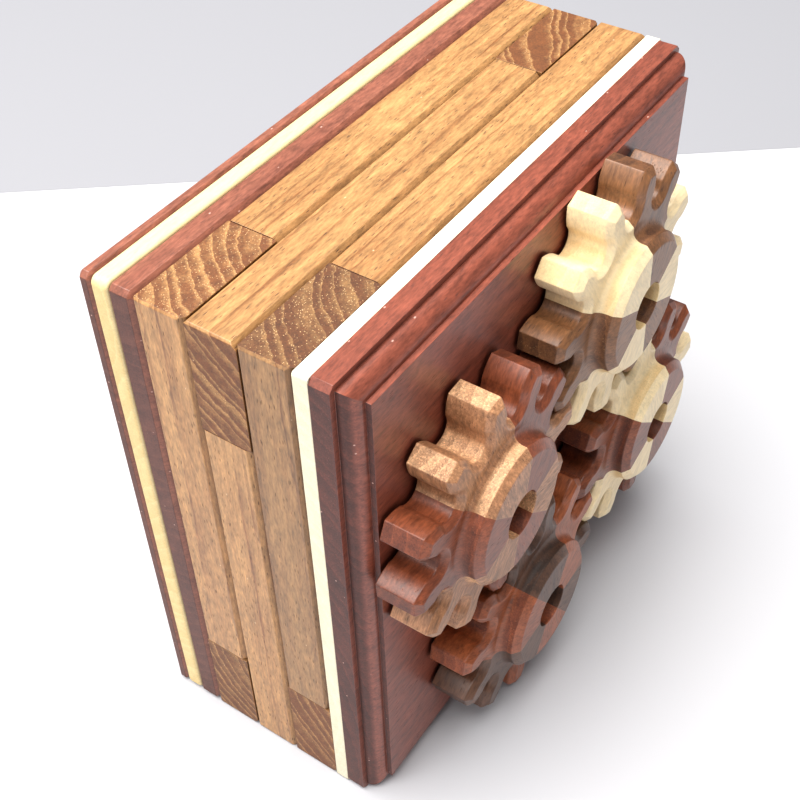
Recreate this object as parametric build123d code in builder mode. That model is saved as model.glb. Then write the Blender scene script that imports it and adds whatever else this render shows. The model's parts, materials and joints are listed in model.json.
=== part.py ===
from build123d import *
from math import acos, cos, pi, radians, sin, tan
import os

os.makedirs("parts", exist_ok=True)

# A square wooden puzzle box that stands on one edge. Four meshed gears on its lid turn together.
# Origin: middle of the footprint, on the ground. +Z up, -Y front (gears), +Y back panel, -X left.
# "Depth" values are distances from the outer back face towards the front.

# Overall
SIDE = 140.0                    # height and width of the square box
HALF = SIDE / 2

# Layers of the case, back to front
BACK_OUTER_T = 3.8
BACK_MIDDLE_T = 4.8
BACK_INNER_T = 6.6
FRAME_T = 12.7                  # each of the three strip frames
FRAME_COUNT = 3
STRIP_W = 28.7                  # strip width, so the cavity is SIDE - 2 * STRIP_W square

# Lid
BACKING_T = 3.6                 # white ply
BOARD_T = 10.1                  # moulded red board
TONGUE_T = 4.0                  # plate that drops into the cavity mouth
TONGUE_PLAY = 0.3               # gap round the tongue
TONGUE_CORNER = 1.0
RIM_T = 4.8                     # flat rim of the board, measured from its back
SHOULDER = 1.5                  # step in from the rim to the bead
BOARD_INSET = 5.0               # front face of the board, in from the rim
BEAD_D = 4.0                    # depth of the convex bead

# Gears: four alike, each of six glued wedges
CENTRE_DISTANCE = 57.0
TEETH = 12
PRESSURE_ANGLE = radians(20)
TIP_R = 31.8
ROOT_R = 22.3
BACKLASH = 0.5                  # at the pitch circle
LAYOUT_ANGLE = 19.5             # turn of the gear square about the panel's middle, degrees
GEAR_T = 10.8
HUB_RISE = 5.0
HUB_R = 17.2
HUB_BEVEL = 1.6                 # radial size of the bevel round the hub's face
HUB_BEVEL_D = 2.0               # its axial size
HUB_COVE = 2.4
TOOTH_BEVEL = 1.5
WEDGES = 6
RECESS_R = 5.7                  # hole in the middle of the hub

# Axles, spacers and locking arms
SPACER_T = 0.75
SPACER_PLAY = 0.05
SPACER_R = 9.0
AXLE_HEAD = 9.0                 # length of the thick head inside the gear
JOURNAL_R = 3.175
BORE_R = JOURNAL_R + 0.05       # running fit
ARM_GAP = 0.4                   # from the tongue to the arm and to the front of its pocket
ARM_T = 4.0
ARM_R = 4.4                     # radius of both round ends
ARM_REACH = 8.0                 # between the centres of its round ends
POCKET_PLAY = 0.6               # round the arm's tip and behind it

# Small edge work
PLY_BEVEL = 1.5
PLY_ARRIS = 0.7
PLY_CORNER = 1.2                # the four corners of the red sheets, cut at 45 degrees
MAPLE_ROUND = 1.2
MAPLE_CORNER = 2.0
BACKING_CORNER = 0.8
BOARD_CORNER = 1.3
STRIP_BEVEL = 1.4
STRIP_ARRIS = 0.5

# Depths worked out from the stack
FRAME_D = BACK_OUTER_T + BACK_MIDDLE_T + BACK_INNER_T
MOUTH_D = FRAME_D + FRAME_COUNT * FRAME_T
BOARD_D = MOUTH_D + BACKING_T
PANEL_D = BOARD_D + BOARD_T
GEAR_D = PANEL_D + SPACER_PLAY + SPACER_T
TOTAL_D = GEAR_D + GEAR_T + HUB_RISE
ARM_FRONT_D = MOUTH_D - TONGUE_T - ARM_GAP
ARM_BACK_D = ARM_FRONT_D - ARM_T
OPENING_HALF = HALF - STRIP_W

# Gear geometry worked out
MODULE = CENTRE_DISTANCE / TEETH
PITCH_R = CENTRE_DISTANCE / 2
BASE_R = PITCH_R * cos(PRESSURE_ANGLE)
PITCH_STEP = 360 / TEETH
TOOTH_W = pi * MODULE / 2 - BACKLASH / 2
LAYOUT_R = CENTRE_DISTANCE / 2 ** 0.5


def y_at(depth):
    """Place along Y of a depth measured from the outer back face."""
    return TOTAL_D / 2 - depth


def panel_plane(depth):
    """Front view plane at a depth: local X is +X, local Y is up, local Z points to the front."""
    return Plane(origin=(0, y_at(depth), HALF), x_dir=(1, 0, 0), z_dir=(0, -1, 0))


def gear_centre(quarter):
    """Axis of a gear in the panel plane, a quarter turn apart from the next."""
    angle = radians(LAYOUT_ANGLE + 45 + 90 * quarter)
    return LAYOUT_R * cos(angle), LAYOUT_R * sin(angle)


def finish(part, name):
    """Name a piece and write it."""
    part.label = name
    export_step(part, f"parts/{name}.step")


# Gears in the panel plane: quarter of the square, first glue line from the layout angle (it runs
# through a tooth gap) and the direction that the locking arm points when the lid is free
GEARS = {
    "a": dict(quarter=0, seam=15.0, arm=-90),
    "b": dict(quarter=1, seam=0.0, arm=0),
    "d": dict(quarter=2, seam=-15.0, arm=90),
    "c": dict(quarter=3, seam=0.0, arm=180),
}

# ---- Back panel: red, maple and red ply -------------------------------------------------------

with BuildPart() as back_outer:
    with BuildSketch(panel_plane(0)) as outer_sheet:
        Rectangle(SIDE, SIDE)
        chamfer(outer_sheet.vertices(), PLY_CORNER)
    extrude(amount=BACK_OUTER_T)
    chamfer(back_outer.faces().sort_by(Axis.Y)[-1].edges(), PLY_BEVEL)
    chamfer(back_outer.faces().sort_by(Axis.Y)[0].edges(), PLY_ARRIS)
finish(back_outer.part, "back_outer_ply")

with BuildPart() as back_middle:
    with BuildSketch(panel_plane(BACK_OUTER_T)):
        RectangleRounded(SIDE, SIDE, MAPLE_CORNER)
    extrude(amount=BACK_MIDDLE_T)
    fillet(back_middle.faces().sort_by(Axis.Y)[-1].edges(), MAPLE_ROUND)
    fillet(back_middle.faces().sort_by(Axis.Y)[0].edges(), MAPLE_ROUND)
finish(back_middle.part, "back_maple_ply")

with BuildPart() as back_inner:
    with BuildSketch(panel_plane(BACK_OUTER_T + BACK_MIDDLE_T)) as inner_sheet:
        Rectangle(SIDE, SIDE)
        chamfer(inner_sheet.vertices(), PLY_CORNER)
    extrude(amount=BACK_INNER_T)
    chamfer(back_inner.faces().sort_by(Axis.Y)[-1].edges(), PLY_ARRIS)
    chamfer(back_inner.faces().sort_by(Axis.Y)[0].edges(), PLY_BEVEL)
finish(back_inner.part, "back_inner_ply")

# ---- Case: three frames of four teak strips, butted like a pinwheel ---------------------------


def strip_blank(frame, mirrored, pocketed):
    """Top strip of a frame about the panel's middle. One end is exposed, the other butts."""
    length = SIDE - STRIP_W
    middle_x = (-STRIP_W if mirrored else STRIP_W) / 2
    depth = FRAME_D + (frame - 1) * FRAME_T
    with BuildPart() as blank:
        with Locations((middle_x, y_at(depth + FRAME_T / 2), HALF - STRIP_W / 2)):
            Box(length, FRAME_T, STRIP_W)
        outer = blank.faces().sort_by(Axis.Z)[-1]
        chamfer(outer.edges().filter_by(Axis.X).sort_by(Axis.Y)[0], STRIP_BEVEL)
        outer = blank.faces().sort_by(Axis.Z)[-1]
        chamfer(outer.edges().filter_by(Axis.X).sort_by(Axis.Y)[-1], STRIP_ARRIS)
        outer = blank.faces().sort_by(Axis.Z)[-1]
        exposed_end = 0 if mirrored else -1
        chamfer(outer.edges().filter_by(Axis.Y).sort_by(Axis.X)[exposed_end], STRIP_ARRIS)
        if pocketed:
            arm_x, arm_z = gear_centre(0)
            pocket_back = Plane(
                origin=(0, y_at(ARM_BACK_D - POCKET_PLAY), 0), x_dir=(1, 0, 0), z_dir=(0, -1, 0)
            )
            with BuildSketch(pocket_back):
                with Locations((arm_x, arm_z)):
                    Circle(ARM_REACH + ARM_R + POCKET_PLAY)
            extrude(amount=POCKET_PLAY + ARM_T + ARM_GAP, mode=Mode.SUBTRACT)
    return blank.part


for frame in range(1, FRAME_COUNT + 1):
    blank_part = strip_blank(frame, mirrored=frame == 2, pocketed=frame == FRAME_COUNT)
    for turn, side in enumerate(("top", "right", "bottom", "left")):
        with BuildPart() as strip:
            with Locations(Location((0, 0, HALF), (0, 90 * turn, 0))):
                add(blank_part)
        finish(strip.part, f"frame_{frame}_{side}")

# ---- Lid: moulded red board, white ply backing and a tongue -----------------------------------


def bore_points():
    """The four axle positions in the panel plane."""
    return [gear_centre(gear["quarter"]) for gear in GEARS.values()]


def board_section(plane):
    """Section across the board: flat rim, shoulder, convex bead, small step, front face."""
    bead_end = HALF - BOARD_INSET
    bead_start = HALF - SHOULDER
    bead_w = bead_start - bead_end
    bead_mid = (bead_end + bead_w * cos(pi / 4), RIM_T + BEAD_D * sin(pi / 4))
    with BuildSketch(plane) as section:
        with BuildLine():
            rim = Polyline((0, 0), (HALF, 0), (HALF, RIM_T), (bead_start, RIM_T))
            bead = ThreePointArc(rim @ 1, bead_mid, (bead_end, RIM_T + BEAD_D))
            Polyline(bead @ 1, (bead_end, BOARD_T), (0, BOARD_T), (0, 0))
        make_face()
        mirror(about=Plane.YZ)
    return section.sketch


board_y = y_at(BOARD_D)
from_above = Plane(origin=(0, board_y, SIDE), x_dir=(1, 0, 0), z_dir=(0, 0, -1))
from_left = Plane(origin=(-HALF, board_y, HALF), x_dir=(0, 0, 1), z_dir=(1, 0, 0))

with BuildPart() as board:
    extrude(board_section(from_above), amount=SIDE)
    extrude(board_section(from_left), amount=SIDE, mode=Mode.INTERSECT)
    upright_columns = board.edges().filter_by(Axis.Y).group_by(Axis.X)
    chamfer(upright_columns[0] + upright_columns[-1], BOARD_CORNER)
    with BuildSketch(panel_plane(BOARD_D)):
        with Locations(bore_points()):
            Circle(BORE_R)
    extrude(amount=BOARD_T, mode=Mode.SUBTRACT)
finish(board.part, "lid_board")

with BuildPart() as backing:
    with BuildSketch(panel_plane(MOUTH_D)):
        RectangleRounded(SIDE, SIDE, BACKING_CORNER)
        with Locations(bore_points()):
            Circle(BORE_R, mode=Mode.SUBTRACT)
    extrude(amount=BACKING_T)
finish(backing.part, "lid_backing_ply")

with BuildPart() as tongue:
    with BuildSketch(panel_plane(MOUTH_D - TONGUE_T)):
        tongue_side = 2 * (OPENING_HALF - TONGUE_PLAY)
        RectangleRounded(tongue_side, tongue_side, TONGUE_CORNER)
        with Locations(bore_points()):
            Circle(BORE_R, mode=Mode.SUBTRACT)
    extrude(amount=TONGUE_T)
finish(tongue.part, "lid_tongue")

# ---- Gears: six glued wedges each, hub in one piece with the teeth ----------------------------


def involute(radius, gap_angle):
    """Point of a tooth flank at a radius, in the frame whose X axis runs up the middle of a gap."""
    pressure = acos(BASE_R / radius)
    angle = gap_angle + tan(pressure) - pressure
    return radius * cos(angle), radius * sin(angle)


half_tooth_angle = TOOTH_W / (2 * PITCH_R)
flank_start = pi / TEETH - half_tooth_angle - (tan(PRESSURE_ANGLE) - PRESSURE_ANGLE)
root_arc_r = BASE_R * sin(flank_start)
root_arc_x = ROOT_R + root_arc_r


def gap_outline():
    """Half of one tooth gap, from the root's lowest point up the flank to the tooth tip's middle."""
    with BuildLine(mode=Mode.PRIVATE) as half:
        root = ThreePointArc(
            (ROOT_R, 0),
            (root_arc_x - root_arc_r * cos(pi / 4), root_arc_r * sin(pi / 4)),
            (root_arc_x, root_arc_r),
        )
        straight = Line(root @ 1, (BASE_R * cos(flank_start), BASE_R * sin(flank_start)))
        flank = ThreePointArc(
            straight @ 1, involute((BASE_R + TIP_R) / 2, flank_start), involute(TIP_R, flank_start)
        )
        tooth_axis = Vector(cos(pi / TEETH), sin(pi / TEETH), 0)
        Line(flank @ 1, tooth_axis * tooth_axis.dot(flank @ 1))
    return half.line


with BuildPart() as gear_blank:
    with BuildSketch():
        with BuildLine():
            with PolarLocations(0, TEETH):
                add(gap_outline())
            mirror(about=Plane.XZ)
        make_face()
    extrude(amount=GEAR_T - TOOTH_BEVEL)
    extrude(gear_blank.faces().sort_by(Axis.Z)[-1], amount=TOOTH_BEVEL, taper=45)
    with BuildSketch(Plane.XY.offset(GEAR_T)):
        Circle(HUB_R)
    extrude(amount=HUB_RISE)
    hub_wall = gear_blank.faces().filter_by(GeomType.CYLINDER).sort_by(Axis.Z)[-1]
    cove_edge = hub_wall.edges().filter_by(GeomType.CIRCLE).sort_by(Axis.Z)[0]
    fillet(cove_edge, HUB_COVE)
    hub_face = gear_blank.faces().sort_by(Axis.Z)[-1]
    chamfer(hub_face.edges(), HUB_BEVEL_D, HUB_BEVEL, reference=hub_face)
    Hole(RECESS_R)

with BuildPart() as wedge_blank:
    add(gear_blank.part)
    with BuildSketch():
        reach = 2 * TIP_R
        seam_end = (reach * cos(2 * pi / WEDGES), reach * sin(2 * pi / WEDGES))
        with BuildLine():
            Polyline((0, 0), (reach, 0), (reach, reach), seam_end, close=True)
        make_face()
    extrude(amount=GEAR_T + HUB_RISE, mode=Mode.INTERSECT)

for letter, gear in GEARS.items():
    x, z = gear_centre(gear["quarter"])
    for k in range(WEDGES):
        turn = LAYOUT_ANGLE + gear["seam"] + k * 360 / WEDGES
        with BuildPart() as wedge:
            with Locations(panel_plane(GEAR_D).location * Location((x, z, 0), (0, 0, turn))):
                add(wedge_blank.part)
        finish(wedge.part, f"gear_{letter}_wedge_{k + 1}")

# ---- Axles with a thick head, spacers behind the gears and locking arms in the cavity ----------

for letter, gear in GEARS.items():
    axis = panel_plane(0).location * Location((*gear_centre(gear["quarter"]), 0))
    gear_back = Plane(axis).offset(GEAR_D)
    arm_back = Plane(axis).offset(ARM_BACK_D)
    with BuildPart() as axle:
        with BuildSketch(arm_back):
            Circle(JOURNAL_R)
        extrude(amount=GEAR_D - ARM_BACK_D)
        with BuildSketch(gear_back):
            Circle(RECESS_R)
        extrude(amount=AXLE_HEAD)
    finish(axle.part, f"axle_{letter}")

    with BuildPart() as spacer:
        with BuildSketch(gear_back.offset(-SPACER_T)):
            Circle(SPACER_R)
            Circle(JOURNAL_R, mode=Mode.SUBTRACT)
        extrude(amount=SPACER_T)
    finish(spacer.part, f"spacer_{letter}")

    with BuildPart() as arm:
        with BuildSketch(arm_back):
            with Locations(Location((0, 0), gear["arm"])):
                SlotCenterPoint((ARM_REACH / 2, 0), (ARM_REACH, 0), 2 * ARM_R)
            Circle(JOURNAL_R, mode=Mode.SUBTRACT)
        extrude(amount=ARM_T)
    finish(arm.part, f"lock_arm_{letter}")
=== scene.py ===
import json
from math import atan2, cos, radians, sin

import bmesh
import bpy
from mathutils import Matrix, Vector

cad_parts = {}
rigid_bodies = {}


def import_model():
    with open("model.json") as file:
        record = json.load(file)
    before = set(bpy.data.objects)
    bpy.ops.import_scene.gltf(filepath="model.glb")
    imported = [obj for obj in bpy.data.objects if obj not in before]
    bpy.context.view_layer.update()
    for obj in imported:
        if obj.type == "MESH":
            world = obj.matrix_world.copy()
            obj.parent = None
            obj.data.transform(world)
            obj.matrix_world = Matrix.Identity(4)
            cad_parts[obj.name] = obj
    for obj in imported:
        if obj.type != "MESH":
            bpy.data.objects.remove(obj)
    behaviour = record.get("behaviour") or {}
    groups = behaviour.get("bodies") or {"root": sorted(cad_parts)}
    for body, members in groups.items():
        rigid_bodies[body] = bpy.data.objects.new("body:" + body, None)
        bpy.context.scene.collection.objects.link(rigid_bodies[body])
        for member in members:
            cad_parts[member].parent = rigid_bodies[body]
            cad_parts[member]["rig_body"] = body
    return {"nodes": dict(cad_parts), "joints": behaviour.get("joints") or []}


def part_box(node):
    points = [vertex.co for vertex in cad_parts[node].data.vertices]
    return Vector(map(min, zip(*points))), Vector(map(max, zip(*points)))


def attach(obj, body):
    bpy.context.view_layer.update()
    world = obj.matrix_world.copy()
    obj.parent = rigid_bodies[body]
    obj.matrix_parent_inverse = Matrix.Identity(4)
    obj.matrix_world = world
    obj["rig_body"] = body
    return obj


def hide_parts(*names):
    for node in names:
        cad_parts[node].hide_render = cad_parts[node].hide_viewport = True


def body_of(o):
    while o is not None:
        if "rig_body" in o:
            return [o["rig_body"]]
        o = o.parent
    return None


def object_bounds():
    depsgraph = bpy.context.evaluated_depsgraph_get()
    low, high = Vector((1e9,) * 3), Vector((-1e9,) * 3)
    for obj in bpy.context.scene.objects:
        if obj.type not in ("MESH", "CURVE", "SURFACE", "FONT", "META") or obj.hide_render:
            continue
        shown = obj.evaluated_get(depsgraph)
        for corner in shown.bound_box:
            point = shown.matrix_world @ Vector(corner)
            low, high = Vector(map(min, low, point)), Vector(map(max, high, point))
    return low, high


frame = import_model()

CAD_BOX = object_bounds()
NODES = frame["nodes"]
MM = 0.001

# ---- Shared shader helpers ----------------------------------------------------------------------


def srgb(red, green, blue):
    """Linear colour, with alpha, of an 8-bit display colour above the curve's dark toe."""
    return (*(((part / 255 + 0.055) / 1.055) ** 2.4 for part in (red, green, blue)), 1.0)


def node(tree, kind, inputs=None, **settings):
    """Adds a shader node. An input is a value, or a socket to link."""
    made = tree.nodes.new("ShaderNode" + kind)
    for name, value in settings.items():
        setattr(made, name, value)
    for key, value in (inputs or {}).items():
        if isinstance(value, bpy.types.NodeSocket):
            tree.links.new(value, made.inputs[key])
        else:
            made.inputs[key].default_value = value
    return made


def sums(tree, operation, first, second=0.0, third=0.0, clamp=False):
    """One Math node's result."""
    made = node(tree, "Math", {0: first, 1: second, 2: third}, operation=operation, use_clamp=clamp)
    return made.outputs[0]


def ramp(tree, value, low, high, to_low=0.0, to_high=1.0):
    """Smooth step of a value from low to high."""
    inputs = {"Value": value, "From Min": low, "From Max": high, "To Min": to_low, "To Max": to_high}
    return node(tree, "MapRange", inputs, interpolation_type="SMOOTHSTEP").outputs["Result"]


def blend_colour(tree, factor, first, second, blend_type="MIX"):
    """Mix of two colours."""
    made = node(tree, "Mix", {0: factor, 6: first, 7: second}, data_type="RGBA", blend_type=blend_type)
    return made.outputs[2]


def stretched(tree, point, along):
    """The grain point with its long axis scaled down, so that its pattern runs along the grain."""
    made = node(tree, "VectorMath", {0: point, 1: (along, 1.0, 1.0)}, operation="MULTIPLY")
    return made.outputs[0]


def noise(tree, vector, scale, detail=2.0, roughness=0.5, output=0):
    """Noise texture on a vector."""
    inputs = {"Vector": vector, "Scale": scale, "Detail": detail, "Roughness": roughness}
    return node(tree, "TexNoise", inputs).outputs[output]


# ---- Solid wood ---------------------------------------------------------------------------------

WOOD_INPUTS = (
    ("Point", "Vector"), ("End", "Float"), ("Edge", "Float"), ("Open", "Float"),
    ("Early", "Color"), ("Late", "Color"), ("Pore", "Color"), ("End pore", "Color"),
    ("End tint", "Color"), ("Edge tint", "Color"), ("Dust", "Color"),
    ("Ring width", "Float"), ("Ring contrast", "Float"), ("Figure", "Float"),
    ("Pore spacing", "Float"), ("Pore share", "Float"), ("Pore strength", "Float"),
    ("Dust share", "Float"), ("Gloss", "Float"), ("Fleck", "Float"),
    ("Grit", "Float"),
)
FLECK_GAIN = (1.6, 1.65, 1.7, 1.0)
# tint of the old wax and painted shade in closed joints and grooves
WAX_AND_SHADE_TINT = (0.3, 0.22, 0.16, 1.0)
DARKEST_GRIT = 0.25


def wood_group():
    """Solid wood about a tree's axis: the point is in mm, its X axis runs along the grain."""
    tree = bpy.data.node_groups.new("solid_wood", "ShaderNodeTree")
    for name, kind in WOOD_INPUTS:
        tree.interface.new_socket(name, in_out="INPUT", socket_type="NodeSocket" + kind)
    for name, kind in (("Colour", "Color"), ("Roughness", "Float"), ("Height", "Float")):
        tree.interface.new_socket(name, in_out="OUTPUT", socket_type="NodeSocket" + kind)
    given = tree.nodes.new("NodeGroupInput").outputs
    result = tree.nodes.new("NodeGroupOutput").inputs
    point, end = given["Point"], given["End"]

    # growth rings: distance from the tree's axis, with a slow wander and uneven widths
    wander = noise(tree, stretched(tree, point, 0.12), 0.035, output=1)
    wander = node(tree, "VectorMath", {0: wander, 1: (0.5, 0.5, 0.5)}, operation="SUBTRACT").outputs[0]
    wander = node(tree, "VectorMath", {0: wander, 1: (0.0, 9.0, 9.0)}, operation="MULTIPLY").outputs[0]
    across = stretched(tree, point, 0.0)
    section = node(tree, "VectorMath", {0: across, 1: wander}, operation="ADD").outputs[0]
    radius = node(tree, "VectorMath", {0: section}, operation="LENGTH").outputs["Value"]
    ripple = noise(tree, stretched(tree, point, 0.16), 0.5, detail=3.0, roughness=0.6)
    radius = sums(tree, "ADD", radius, sums(tree, "MULTIPLY", ripple, 1.5))
    turns = sums(tree, "DIVIDE", radius, given["Ring width"])
    steps = {"W": sums(tree, "MULTIPLY", turns, 0.55), "Scale": 1.0}
    uneven = node(tree, "TexNoise", steps, noise_dimensions="1D").outputs[0]
    turns = sums(tree, "ADD", turns, sums(tree, "MULTIPLY", uneven, 1.6))
    phase = sums(tree, "FRACT", turns)
    patches = noise(tree, stretched(tree, point, 0.04), 0.5, detail=3.0)
    broken = ramp(tree, patches, 0.35, 0.62, 0.25, 1.0)
    long_late = sums(tree, "MULTIPLY", sums(tree, "POWER", phase, 5.0), broken)
    end_late = sums(tree, "SUBTRACT", 1.0, sums(tree, "POWER", sums(tree, "SUBTRACT", 1.0, phase), 3.0))
    late = node(tree, "Mix", {0: end, 2: long_late, 3: end_late}).outputs[0]
    late = sums(tree, "MULTIPLY", late, ramp(tree, phase, 1.0, 0.9))

    # fibres, streaks and slow tone
    fibre = noise(tree, stretched(tree, point, 0.12), 2.6, detail=4.0, roughness=0.7)
    fibre = sums(tree, "SUBTRACT", fibre, 0.5)
    streak = noise(tree, stretched(tree, point, 0.07), 0.42, detail=4.0, roughness=0.6)
    streak = sums(tree, "SUBTRACT", streak, 0.5)
    tone = noise(tree, stretched(tree, point, 0.25), 0.05, detail=1.0)
    tone = sums(tree, "SUBTRACT", tone, 0.5)
    shade = sums(tree, "MULTIPLY", late, given["Ring contrast"])
    moved = sums(tree, "ADD", sums(tree, "MULTIPLY", streak, 2.4), sums(tree, "MULTIPLY", tone, 1.5))
    moved = sums(tree, "ADD", moved, sums(tree, "MULTIPLY", fibre, 1.6))
    moved = sums(tree, "ADD", moved, 0.3)
    shade = sums(tree, "ADD", shade, sums(tree, "MULTIPLY", moved, given["Figure"]), clamp=True)
    colour = blend_colour(tree, shade, given["Early"], given["Late"])

    # pores: long dashes on side grain, dots on end grain, most of them in the early wood
    cell = sums(tree, "DIVIDE", 1.0, given["Pore spacing"])
    pores = node(tree, "TexVoronoi", {"Vector": stretched(tree, point, 0.16), "Scale": cell})
    chosen = node(tree, "SeparateColor", {0: pores.outputs["Color"]}).outputs[0]
    crowding = sums(tree, "POWER", sums(tree, "SUBTRACT", 1.0, phase), 4.0)
    crowding = sums(tree, "ADD", sums(tree, "MULTIPLY", crowding, 1.2), 0.4)
    chosen = sums(tree, "LESS_THAN", chosen, sums(tree, "MULTIPLY", given["Pore share"], crowding))
    pore = sums(tree, "MULTIPLY", ramp(tree, pores.outputs["Distance"], 0.3, 0.14), chosen)
    pore_look = sums(tree, "MULTIPLY", pore, given["Pore strength"])
    tint = blend_colour(tree, end, given["Pore"], given["End pore"])

    # short bright flecks where the cut crosses the fibres
    fleck = noise(tree, stretched(tree, point, 0.3), 2.6, detail=3.0, roughness=0.7)
    fleck = sums(tree, "MULTIPLY", ramp(tree, fleck, 0.5, 0.68), given["Fleck"])
    bright = blend_colour(tree, 1.0, given["Early"], FLECK_GAIN, "MULTIPLY")
    colour = blend_colour(tree, fleck, colour, bright)

    # end grain drinks more finish, so it is darker; an end tint above one, as on the tan wedges, paints
    # a highlight on their tooth tips instead
    end_tinted = blend_colour(tree, 1.0, colour, given["End tint"], "MULTIPLY")
    colour = blend_colour(tree, end, colour, end_tinted)
    colour = blend_colour(tree, pore_look, colour, tint)

    # fine sparkle of the fibres
    along_grit = noise(tree, stretched(tree, point, 0.22), 1.5, detail=2.0, roughness=0.75)
    end_grit = noise(tree, point, 2.2, detail=2.0, roughness=0.75)
    grit = node(tree, "Mix", {0: end, 2: along_grit, 3: end_grit}).outputs[0]
    cloud = noise(tree, stretched(tree, point, 0.3), 0.5, detail=2.0, roughness=0.5)
    cloud = sums(tree, "MULTIPLY", sums(tree, "SUBTRACT", cloud, 0.5), 0.5)
    grit = sums(tree, "ADD", sums(tree, "SUBTRACT", grit, 0.5), cloud)
    grit = sums(tree, "ADD", sums(tree, "MULTIPLY", grit, given["Grit"]), 1.0)
    grit = sums(tree, "MAXIMUM", grit, DARKEST_GRIT)
    colour = node(tree, "VectorMath", {0: colour, 1: grit}, operation="MULTIPLY").outputs[0]

    # rubbed edges, and pale dust left in a few pores
    colour = blend_colour(tree, given["Edge"], colour,
                          blend_colour(tree, 1.0, colour, given["Edge tint"], "MULTIPLY"))
    specks = node(tree, "TexVoronoi", {"Vector": stretched(tree, point, 0.55), "Scale": 0.55})
    speck_pick = node(tree, "SeparateColor", {0: specks.outputs["Color"]}).outputs[1]
    speck = sums(tree, "MULTIPLY", ramp(tree, specks.outputs["Distance"], 0.13, 0.05),
                 sums(tree, "LESS_THAN", speck_pick, given["Dust share"]))
    colour = blend_colour(tree, sums(tree, "MULTIPLY", speck, 0.8), colour, given["Dust"])

    # old wax and painted shade in the joints and grooves, darkest where ambient occlusion finds them
    # closed
    wax_and_shade = ramp(tree, given["Open"], 0.2, 0.9, 0.95, 0.0)
    colour = blend_colour(tree, wax_and_shade, colour, blend_colour(tree, 1.0, colour, WAX_AND_SHADE_TINT, "MULTIPLY"))

    rough = sums(tree, "ADD", given["Gloss"], sums(tree, "MULTIPLY", pore, 0.25))
    rough = sums(tree, "ADD", rough, sums(tree, "MULTIPLY", fibre, 0.14))
    rough = sums(tree, "ADD", rough, sums(tree, "MULTIPLY", end, 0.2))
    rough = sums(tree, "SUBTRACT", rough, sums(tree, "MULTIPLY", given["Edge"], 0.06), clamp=True)
    height = sums(tree, "SUBTRACT", sums(tree, "MULTIPLY", fibre, 0.5), pore)
    height = sums(tree, "ADD", height, sums(tree, "MULTIPLY", late, 0.25))
    for name, value in (("Colour", colour), ("Roughness", rough), ("Height", height)):
        tree.links.new(value, result[name])
    return tree


SOLID_WOOD = wood_group()

PLAIN_WOOD = dict(
    early=srgb(200, 160, 110), late=srgb(150, 110, 70), pore=srgb(70, 45, 28),
        end_pore=srgb(70, 45, 28),
    end_tint=(0.6, 0.56, 0.52, 1.0), edge_tint=(1.12, 1.1, 1.08, 1.0), dust=srgb(225, 200, 180),
    ring=3.5, contrast=0.6, figure=0.35, spacing=0.8, share=0.5, pore_strength=0.6,
    dust_share=0.0, gloss=0.4, fleck=0.0, bump=0.35, grit=1.6,
)

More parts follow.
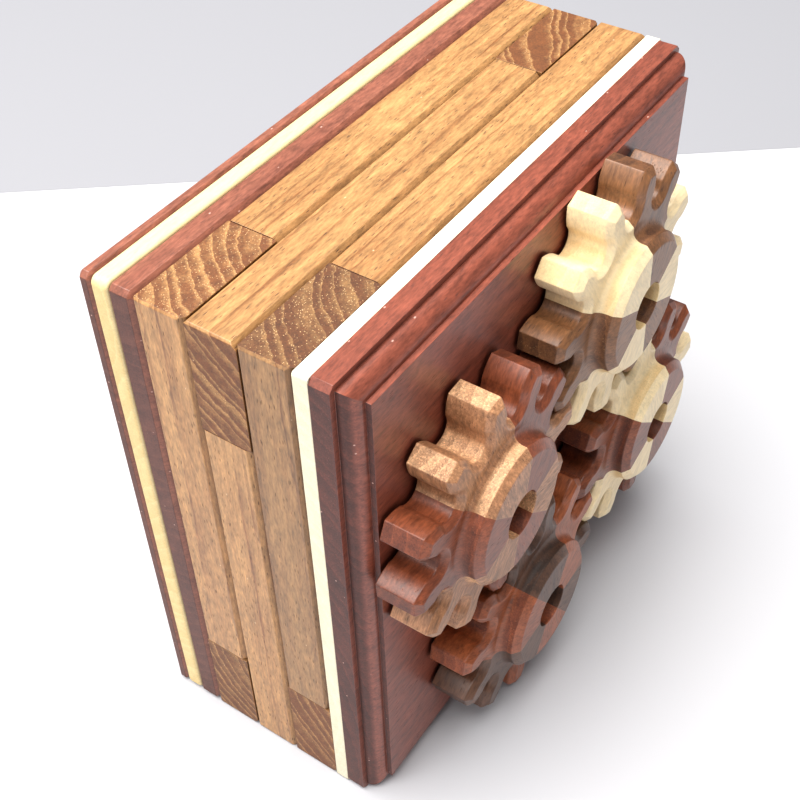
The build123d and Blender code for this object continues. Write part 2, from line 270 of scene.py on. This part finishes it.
# What differs from the plain wood
WOODS = {
    "teak": dict(
        early=srgb(188, 140, 88), late=srgb(120, 70, 34), pore=srgb(70, 40, 20),
        end_pore=srgb(226, 186, 134),
        end_tint=(0.84, 0.82, 0.76, 1.0), edge_tint=(0.86, 0.8, 0.74, 1.0), dust=srgb(222, 190, 150),
        ring=3.0, contrast=0.9, figure=0.5, spacing=0.46, share=0.5, pore_strength=0.75, dust_share=0.05,
        grit=1.5,
    ),
    "red_ply": dict(
        early=srgb(150, 92, 72), late=srgb(98, 48, 38), pore=srgb(66, 30, 24),
        end_pore=srgb(118, 92, 84),
        end_tint=(0.42, 0.36, 0.34, 1.0), edge_tint=(1.12, 1.08, 1.05, 1.0), dust=srgb(225, 180, 165),
        ring=4.0, contrast=0.4, figure=0.4, spacing=0.45, share=0.35, pore_strength=0.45,
        dust_share=0.16, gloss=0.36, fleck=0.12,
    ),
    "maple_ply": dict(
        early=srgb(232, 214, 162), late=srgb(218, 190, 130), pore=srgb(190, 146, 96),
        end_pore=srgb(206, 176, 130), end_tint=(0.98, 0.93, 0.84, 1.0), edge_tint=(1.04, 1.03, 1.0, 1.0),
        ring=4.5, contrast=0.45, figure=0.35, spacing=0.5, share=0.3, pore_strength=0.3, gloss=0.45,
        bump=0.2, grit=0.5,
    ),
    "white_ply": dict(
        early=srgb(244, 238, 218), late=srgb(232, 222, 190), pore=srgb(206, 192, 156),
        end_pore=srgb(190, 178, 146), end_tint=(0.93, 0.91, 0.84, 1.0), edge_tint=(1.03, 1.02, 1.0, 1.0),
        ring=3.0, contrast=0.3, figure=0.3, spacing=0.45, share=0.4, pore_strength=0.25, gloss=0.48,
        bump=0.2, grit=0.4,
    ),
    "birch_ply": dict(
        early=srgb(214, 184, 138), late=srgb(188, 152, 104), contrast=0.4, pore_strength=0.3, grit=0.7,
    ),
    "birch_dowel": dict(
        early=srgb(206, 170, 120), late=srgb(170, 130, 84), ring=1.4, contrast=0.5, pore_strength=0.5,
        spacing=0.5,
    ),
    "maple": dict(
        early=srgb(245, 222, 178), late=srgb(226, 192, 140), pore=srgb(190, 150, 100),
        end_pore=srgb(178, 136, 84), end_tint=(0.9, 0.85, 0.74, 1.0), edge_tint=(1.05, 1.04, 1.0, 1.0),
        ring=5.0, contrast=0.4, figure=0.25, spacing=0.45, share=0.35, pore_strength=0.2, bump=0.2,
        grit=0.6,
    ),
    "walnut": dict(
        early=srgb(130, 87, 55), late=srgb(80, 50, 31), pore=srgb(38, 24, 17),
        end_pore=srgb(180, 140, 100),
        end_tint=(0.85, 0.78, 0.7, 1.0), ring=3.2, contrast=0.6, figure=0.6, spacing=0.55, share=0.42,
        pore_strength=0.55, dust_share=0.06, fleck=0.2,
    ),
    "tan": dict(
        early=srgb(170, 120, 84), late=srgb(104, 64, 40), pore=srgb(64, 34, 22),
        end_pore=srgb(240, 214, 170),
        # end tint above one: painted highlight on the tooth tips of the tan wedges
        end_tint=(2.0, 2.4, 2.6, 1.0), ring=2.6, contrast=0.5, figure=0.4, spacing=0.5, share=0.5,
        pore_strength=0.5, fleck=0.4, grit=1.8,
    ),
    "red_brown": dict(
        early=srgb(134, 70, 44), late=srgb(82, 38, 23), pore=srgb(54, 26, 18),
        end_pore=srgb(160, 104, 76),
        end_tint=(0.95, 0.88, 0.8, 1.0), ring=3.4, contrast=0.5, figure=0.6, spacing=0.5, share=0.36,
        pore_strength=0.5, fleck=0.16, gloss=0.36,
    ),
    "dark_red": dict(
        early=srgb(132, 70, 42), late=srgb(84, 40, 26), pore=srgb(36, 18, 14),
        end_pore=srgb(150, 96, 66),
        end_tint=(0.66, 0.58, 0.54, 1.0), ring=3.4, contrast=0.5, figure=0.6, spacing=0.5, share=0.36,
        pore_strength=0.5, fleck=0.2, gloss=0.36,
    ),
    "orange": dict(
        early=srgb(156, 84, 48), late=srgb(104, 48, 26), pore=srgb(86, 40, 24),
        end_pore=srgb(190, 130, 90),
        end_tint=(0.92, 0.84, 0.76, 1.0), ring=3.4, contrast=0.5, figure=0.5, spacing=0.5, share=0.32,
        pore_strength=0.5, fleck=0.14, gloss=0.38,
    ),
    "grey_walnut": dict(
        early=srgb(98, 66, 48), late=srgb(60, 40, 30), pore=srgb(32, 22, 17),
        end_pore=srgb(130, 100, 78),
        end_tint=(0.7, 0.64, 0.58, 1.0), ring=3.2, contrast=0.55, figure=0.6, spacing=0.5, share=0.4,
        pore_strength=0.5, fleck=0.12,
    ),
}
WOODS["red_board"] = dict(WOODS["red_ply"], early=srgb(138, 72, 54), late=srgb(76, 32, 24), contrast=0.5)
WOODS["spacer_wood"] = WOODS["birch_dowel"]
WOODS["arm_wood"] = WOODS["birch_ply"]

GROUP_KEYS = dict(
    early="Early", late="Late", pore="Pore", end_pore="End pore", end_tint="End tint",
    edge_tint="Edge tint", dust="Dust", ring="Ring width", contrast="Ring contrast", figure="Figure",
    spacing="Pore spacing", share="Pore share", pore_strength="Pore strength", dust_share="Dust share",
    gloss="Gloss", fleck="Fleck", grit="Grit",
)
# How far along the cosine to the grain a face counts as end grain
END_FROM = 0.62
END_FULL = 0.93
EDGE_WEAR_R = 0.45 * MM
WAX_AND_SHADE_REACH = 2.0 * MM
PORE_DEPTH = 0.09 * MM


def wood_material(name, wood, along, heart, tone=1.0, **changes):
    """Wood with its grain along a direction, from a tree whose middle line passes the heart point."""
    look = {**PLAIN_WOOD, **WOODS[wood], **changes}
    for key in ("early", "late"):
        look[key] = (*(tone * part for part in look[key][:3]), 1.0)
    material = bpy.data.materials.new(name)
    material.use_nodes = True
    tree = material.node_tree
    tree.nodes.clear()
    along = along.normalized()
    turn = along.rotation_difference(Vector((1, 0, 0))).to_matrix()
    shift = -(turn @ heart) / MM
    place = node(tree, "TexCoord")
    point = node(tree, "Mapping", {
        "Vector": place.outputs["Object"], "Location": shift, "Rotation": turn.to_euler(),
        "Scale": (1 / MM,) * 3,
    }).outputs[0]
    facing = node(tree, "VectorMath", {0: place.outputs["Normal"], 1: along}, operation="DOT_PRODUCT")
    end = ramp(tree, sums(tree, "ABSOLUTE", facing.outputs["Value"]), END_FROM, END_FULL)
    softened = node(tree, "Bevel", {"Radius": EDGE_WEAR_R}, samples=4)
    surface = node(tree, "NewGeometry")
    turned = node(tree, "VectorMath", {0: softened.outputs[0], 1: surface.outputs["Normal"]},
                  operation="DOT_PRODUCT")
    patchy = noise(tree, place.outputs["Object"], 90.0, detail=2.0)
    edge = sums(tree, "MULTIPLY", ramp(tree, turned.outputs["Value"], 0.995, 0.9),
                ramp(tree, patchy, 0.3, 0.65, 0.35, 1.0))
    # ambient occlusion that drives the painted shade and wax in the joints
    closed = node(tree, "AmbientOcclusion", {"Distance": WAX_AND_SHADE_REACH}, samples=6)
    group = node(tree, "Group", node_tree=SOLID_WOOD)
    for key, title in GROUP_KEYS.items():
        group.inputs[title].default_value = look[key]
    measured = {"Point": point, "End": end, "Edge": edge, "Open": closed.outputs["AO"]}
    for title, socket in measured.items():
        tree.links.new(socket, group.inputs[title])
    bump = node(tree, "Bump", {
        "Strength": look["bump"], "Distance": PORE_DEPTH, "Height": group.outputs["Height"],
    })
    shader = node(tree, "BsdfPrincipled", {
        "Base Color": group.outputs["Colour"], "Roughness": group.outputs["Roughness"],
        "Normal": bump.outputs[0], "IOR": 1.5, "Specular IOR Level": 0.5, "Coat Weight": 0.04,
        "Coat Roughness": 0.32,
    })
    node(tree, "OutputMaterial", {"Surface": shader.outputs[0]})
    return material


# ---- Finished pieces: each CAD solid with its edges eased ---------------------------------------


WELD = 0.002 * MM
FLAT_ANGLE = radians(0.6)
SHARP_ANGLE = radians(24)


def eased(name, material, ease, keep_sharp=None, gap=0.0, merge_flat=True):
    """The CAD solid as one clean mesh in place of its node.

    Its sharp edges are rounded off, apart from those kept sharp, and it is drawn in by a gap all round.
    """
    source = NODES[name]
    mesh = bpy.data.meshes.new(f"{name}_finished")
    work = bmesh.new()
    work.from_mesh(source.data)
    bmesh.ops.remove_doubles(work, verts=work.verts, dist=WELD)
    if merge_flat:
        bmesh.ops.dissolve_limit(work, angle_limit=FLAT_ANGLE, verts=work.verts, edges=work.edges)
    if gap:
        low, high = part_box(name)
        centre = (low + high) / 2
        kept = Vector((1 - 2 * gap / side for side in high - low))
        for corner in work.verts:
            corner.co = centre + (corner.co - centre) * kept
    weight = work.edges.layers.float.new("bevel_weight_edge")
    for face in work.faces:
        face.smooth = True
    for edge in work.edges:
        if len(edge.link_faces) != 2:
            continue
        sharp = edge.calc_face_angle() > SHARP_ANGLE
        edge.smooth = not sharp
        if sharp and not (keep_sharp and keep_sharp(edge)):
            edge[weight] = 1.0
            edge.smooth = True
    work.to_mesh(mesh)
    work.free()
    piece = bpy.data.objects.new(f"{name}_finished", mesh)
    bpy.context.scene.collection.objects.link(piece)
    mesh.materials.append(material)
    rounding = piece.modifiers.new("eased_edges", "BEVEL")
    rounding.limit_method = "WEIGHT"
    rounding.width = ease
    rounding.segments = 3
    rounding.use_clamp_overlap = True
    rounding.miter_outer = "MITER_ARC"
    flat = piece.modifiers.new("flat_faces", "WEIGHTED_NORMAL")
    flat.keep_sharp = True
    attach(piece, body_of(source)[0])
    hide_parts(name)
    return piece


def middle(name):
    """Middle of a node's box."""
    low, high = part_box(name)
    return (low + high) / 2


X, Y, Z = Vector((1, 0, 0)), Vector((0, 1, 0)), Vector((0, 0, 1))


def slab(name, wood, ease, heart):
    """A sheet of solid wood, with its grain across the box."""
    material = wood_material(f"{name}_wood", wood, X, middle(name) + heart * MM)
    return eased(name, material, ease * MM)


# Back panel, backing and board: the grain of all of them runs across the box
slab("back_outer_ply", "red_ply", 0.14, Vector((0, 25, -90)))
slab("back_maple_ply", "maple_ply", 0.2, Vector((0, 45, 60)))
slab("back_inner_ply", "red_ply", 0.14, Vector((0, -30, -120)))
slab("lid_backing_ply", "white_ply", 0.2, Vector((0, 60, -40)))
slab("lid_board", "red_board", 0.14, Vector((0, 90, -60)))
slab("lid_tongue", "birch_ply", 0.3, Vector((0, 30, 100)))

# Case strips: long grain along each strip, rings running diagonally across its end
STRIP_ROWS = (1, 2, 3)
POCKETED_ROW = 3                # its faces with arm pockets stay as the CAD triangles
JOINT_GAP = 0.09 * MM
STRIP_EASE = 0.15 * MM
DARK_STRIPS = {"frame_3_left": 0.68, "frame_2_top": 0.95, "frame_1_bottom": 0.9}
for row in STRIP_ROWS:
    for turn, side in enumerate(("top", "right", "bottom", "left")):
        name = f"frame_{row}_{side}"
        lying = side in ("top", "bottom")
        seed = 4 * row + turn
        along, across = (X, Z) if lying else (Z, X)
        # each strip comes from its own place in its own tree
        tilt = radians(45 + 14 * sin(2.3 * seed))
        reach = 70 + 30 * sin(1.7 * seed)
        heart = (across * cos(tilt) - Y * sin(tilt)) * reach
        slip = along * 37 * seed
        material = wood_material(
            f"{name}_wood", "teak", along, middle(name) + (heart + slip) * MM,
            tone=DARK_STRIPS.get(name, 1.0), ring=2.8 + 1.4 * sin(3.1 * seed) ** 2,
        )
        eased(name, material, STRIP_EASE, gap=JOINT_GAP, merge_flat=row != POCKETED_ROW)

# ---- Gears --------------------------------------------------------------------------------------

WEDGE_WOODS = {
    "a": ("walnut", "maple"), "b": ("red_brown", "tan"),
    "c": ("dark_red", "maple"), "d": ("orange", "grey_walnut"),
}
HINGES = {j["child"]: Vector(j["pos_m"]) for j in frame["joints"] if j["type"] == "hinge"}
WEDGE_COUNT = 6
WEDGE_EASE = 0.22 * MM
ON_PLANE = 0.02 * MM


def glue_faces(mesh, axis):
    """Directions out of a wedge through its two glued faces, whose planes hold the gear's axis."""
    found = []
    for face in mesh.polygons:
        offset = face.normal.dot(face.center - axis)
        if abs(face.normal.y) < 0.01 and abs(offset) < ON_PLANE:
            if all(face.normal.dot(other) < 0.99 for other in found):
                found.append(face.normal.copy())
    return found


for letter, woods in WEDGE_WOODS.items():
    gear = f"gear_{letter}"
    axis = HINGES[gear]
    for k in range(WEDGE_COUNT):
        name = f"{gear}_wedge_{k + 1}"
        glued = glue_faces(NODES[name].data, axis)
        out = -(glued[0] + glued[1]).normalized()
        side = out.cross(Y)

        def on_glue_line(edge, glued=glued, axis=axis):
            """Whether an edge lies in the plane of a glued face."""
            return any(
                all(abs(wall.dot(end.co - axis)) < ON_PLANE for end in edge.verts) for wall in glued
            )

        seed = 7 * k + 3 * ord(letter)
        heart = side * 12 * cos(1.3 * seed) + Y * 46 + out * 11 * seed
        wood = woods[k % 2]
        material = wood_material(f"{name}_wood", wood, out, axis + heart * MM)
        eased(name, material, WEDGE_EASE, keep_sharp=on_glue_line)

    dowel = wood_material(f"axle_{letter}_wood", "birch_dowel", Y, axis + Vector((3, 0, 2)) * MM)
    eased(f"axle_{letter}", dowel, 0.3 * MM)
    washer = wood_material(f"spacer_{letter}_wood", "spacer_wood", X, axis + Vector((0, 30, 20)) * MM)
    eased(f"spacer_{letter}", washer, 0.1 * MM)
    arm = wood_material(f"lock_arm_{letter}_wood", "arm_wood", X, axis + Vector((0, 30, 20)) * MM)
    eased(f"lock_arm_{letter}", arm, 0.3 * MM)

# ---- Floor, light and camera --------------------------------------------------------------------

SHEET_HALF = 4.0
SHEET_PARTS = 8
CLOTH_ROUGHNESS = 0.9
FLOOR_COLOUR = srgb(200, 200, 204)
# grey of the far sheet: painted shade for the dimmer background
FAR_SHADE_COLOUR = srgb(158, 158, 163)
FAR_LIFT = 0.1 * MM


def plain_sheet(name, colour, place, turn=0.0, lift=0.0):
    """A large plain sheet on the ground."""
    mesh = bpy.data.meshes.new(name)
    work = bmesh.new()
    bmesh.ops.create_grid(work, x_segments=SHEET_PARTS, y_segments=SHEET_PARTS, size=SHEET_HALF)
    work.to_mesh(mesh)
    work.free()
    sheet = bpy.data.objects.new(name, mesh)
    bpy.context.scene.collection.objects.link(sheet)
    sheet.location = (place.x, place.y, CAD_BOX[0].z + lift)
    sheet.rotation_euler.z = turn
    material = bpy.data.materials.new(f"{name}_cloth")
    material.use_nodes = True
    shader = material.node_tree.nodes["Principled BSDF"]
    shader.inputs["Base Color"].default_value = colour
    shader.inputs["Roughness"].default_value = CLOTH_ROUGHNESS
    mesh.materials.append(material)


plain_sheet("floor", FLOOR_COLOUR, Vector((0, 0, 0)))

# A greyer sheet beyond the box, its near edge a straight line across the ground; its grey is painted
# shade for the dimmer background beyond that line
EDGE_START = Vector((0.092, 0.209, 0.0))
EDGE_END = Vector((0.274, -0.025, 0.0))
edge_run = (EDGE_END - EDGE_START).normalized()
beyond = Vector((-edge_run.y, edge_run.x, 0.0))
plain_sheet(
    "far_shade_sheet", FAR_SHADE_COLOUR, EDGE_START + beyond * SHEET_HALF,
    turn=atan2(edge_run.y, edge_run.x), lift=FAR_LIFT,
)

LIGHT_AIM = Vector((0, 0, 0.05))


def soft_light(name, place, size, power, tint):
    """A square area light aimed at the box."""
    data = bpy.data.lights.new(name, "AREA")
    data.size = size
    data.energy = power
    data.color = tint
    light = bpy.data.objects.new(name, data)
    light.location = place
    light.rotation_mode = "QUATERNION"
    light.rotation_quaternion = (LIGHT_AIM - Vector(place)).to_track_quat("-Z", "Y")
    bpy.context.scene.collection.objects.link(light)


soft_light("window", (-0.24, 0.22, 1.38), 1.5, 56.0, (1.0, 0.985, 0.96))
soft_light("left_card", (-1.5, 0.35, 0.55), 1.3, 7.0, (0.97, 0.98, 1.0))

world = bpy.data.worlds.new("soft_white")
bpy.context.scene.world = world
world.use_nodes = True
sky = world.node_tree.nodes["Background"].inputs
sky["Color"].default_value = (0.93, 0.96, 1.0, 1.0)
sky["Strength"].default_value = 0.24
bpy.context.scene.view_settings.view_transform = "Standard"

CAMERA_PLACE = Vector((-0.19247, -0.12262, 0.29461))
CAMERA_AZIMUTH = radians(-54.43)
CAMERA_ELEVATION = radians(44.68)
CAMERA_ROLL = radians(-1.92)
CAMERA_LENS = 57.57

back = Vector((
    sin(CAMERA_AZIMUTH) * cos(CAMERA_ELEVATION),
    -cos(CAMERA_AZIMUTH) * cos(CAMERA_ELEVATION),
    sin(CAMERA_ELEVATION),
))
camera_data = bpy.data.cameras.new("camera")
camera_data.lens = CAMERA_LENS
camera = bpy.data.objects.new("camera", camera_data)
bpy.context.scene.collection.objects.link(camera)
level = (-back).to_track_quat("-Z", "Y").to_matrix()
rolled = level @ Matrix.Rotation(CAMERA_ROLL, 3, "Z")
camera.matrix_world = Matrix.Translation(CAMERA_PLACE) @ rolled.to_4x4()
bpy.context.scene.camera = camera
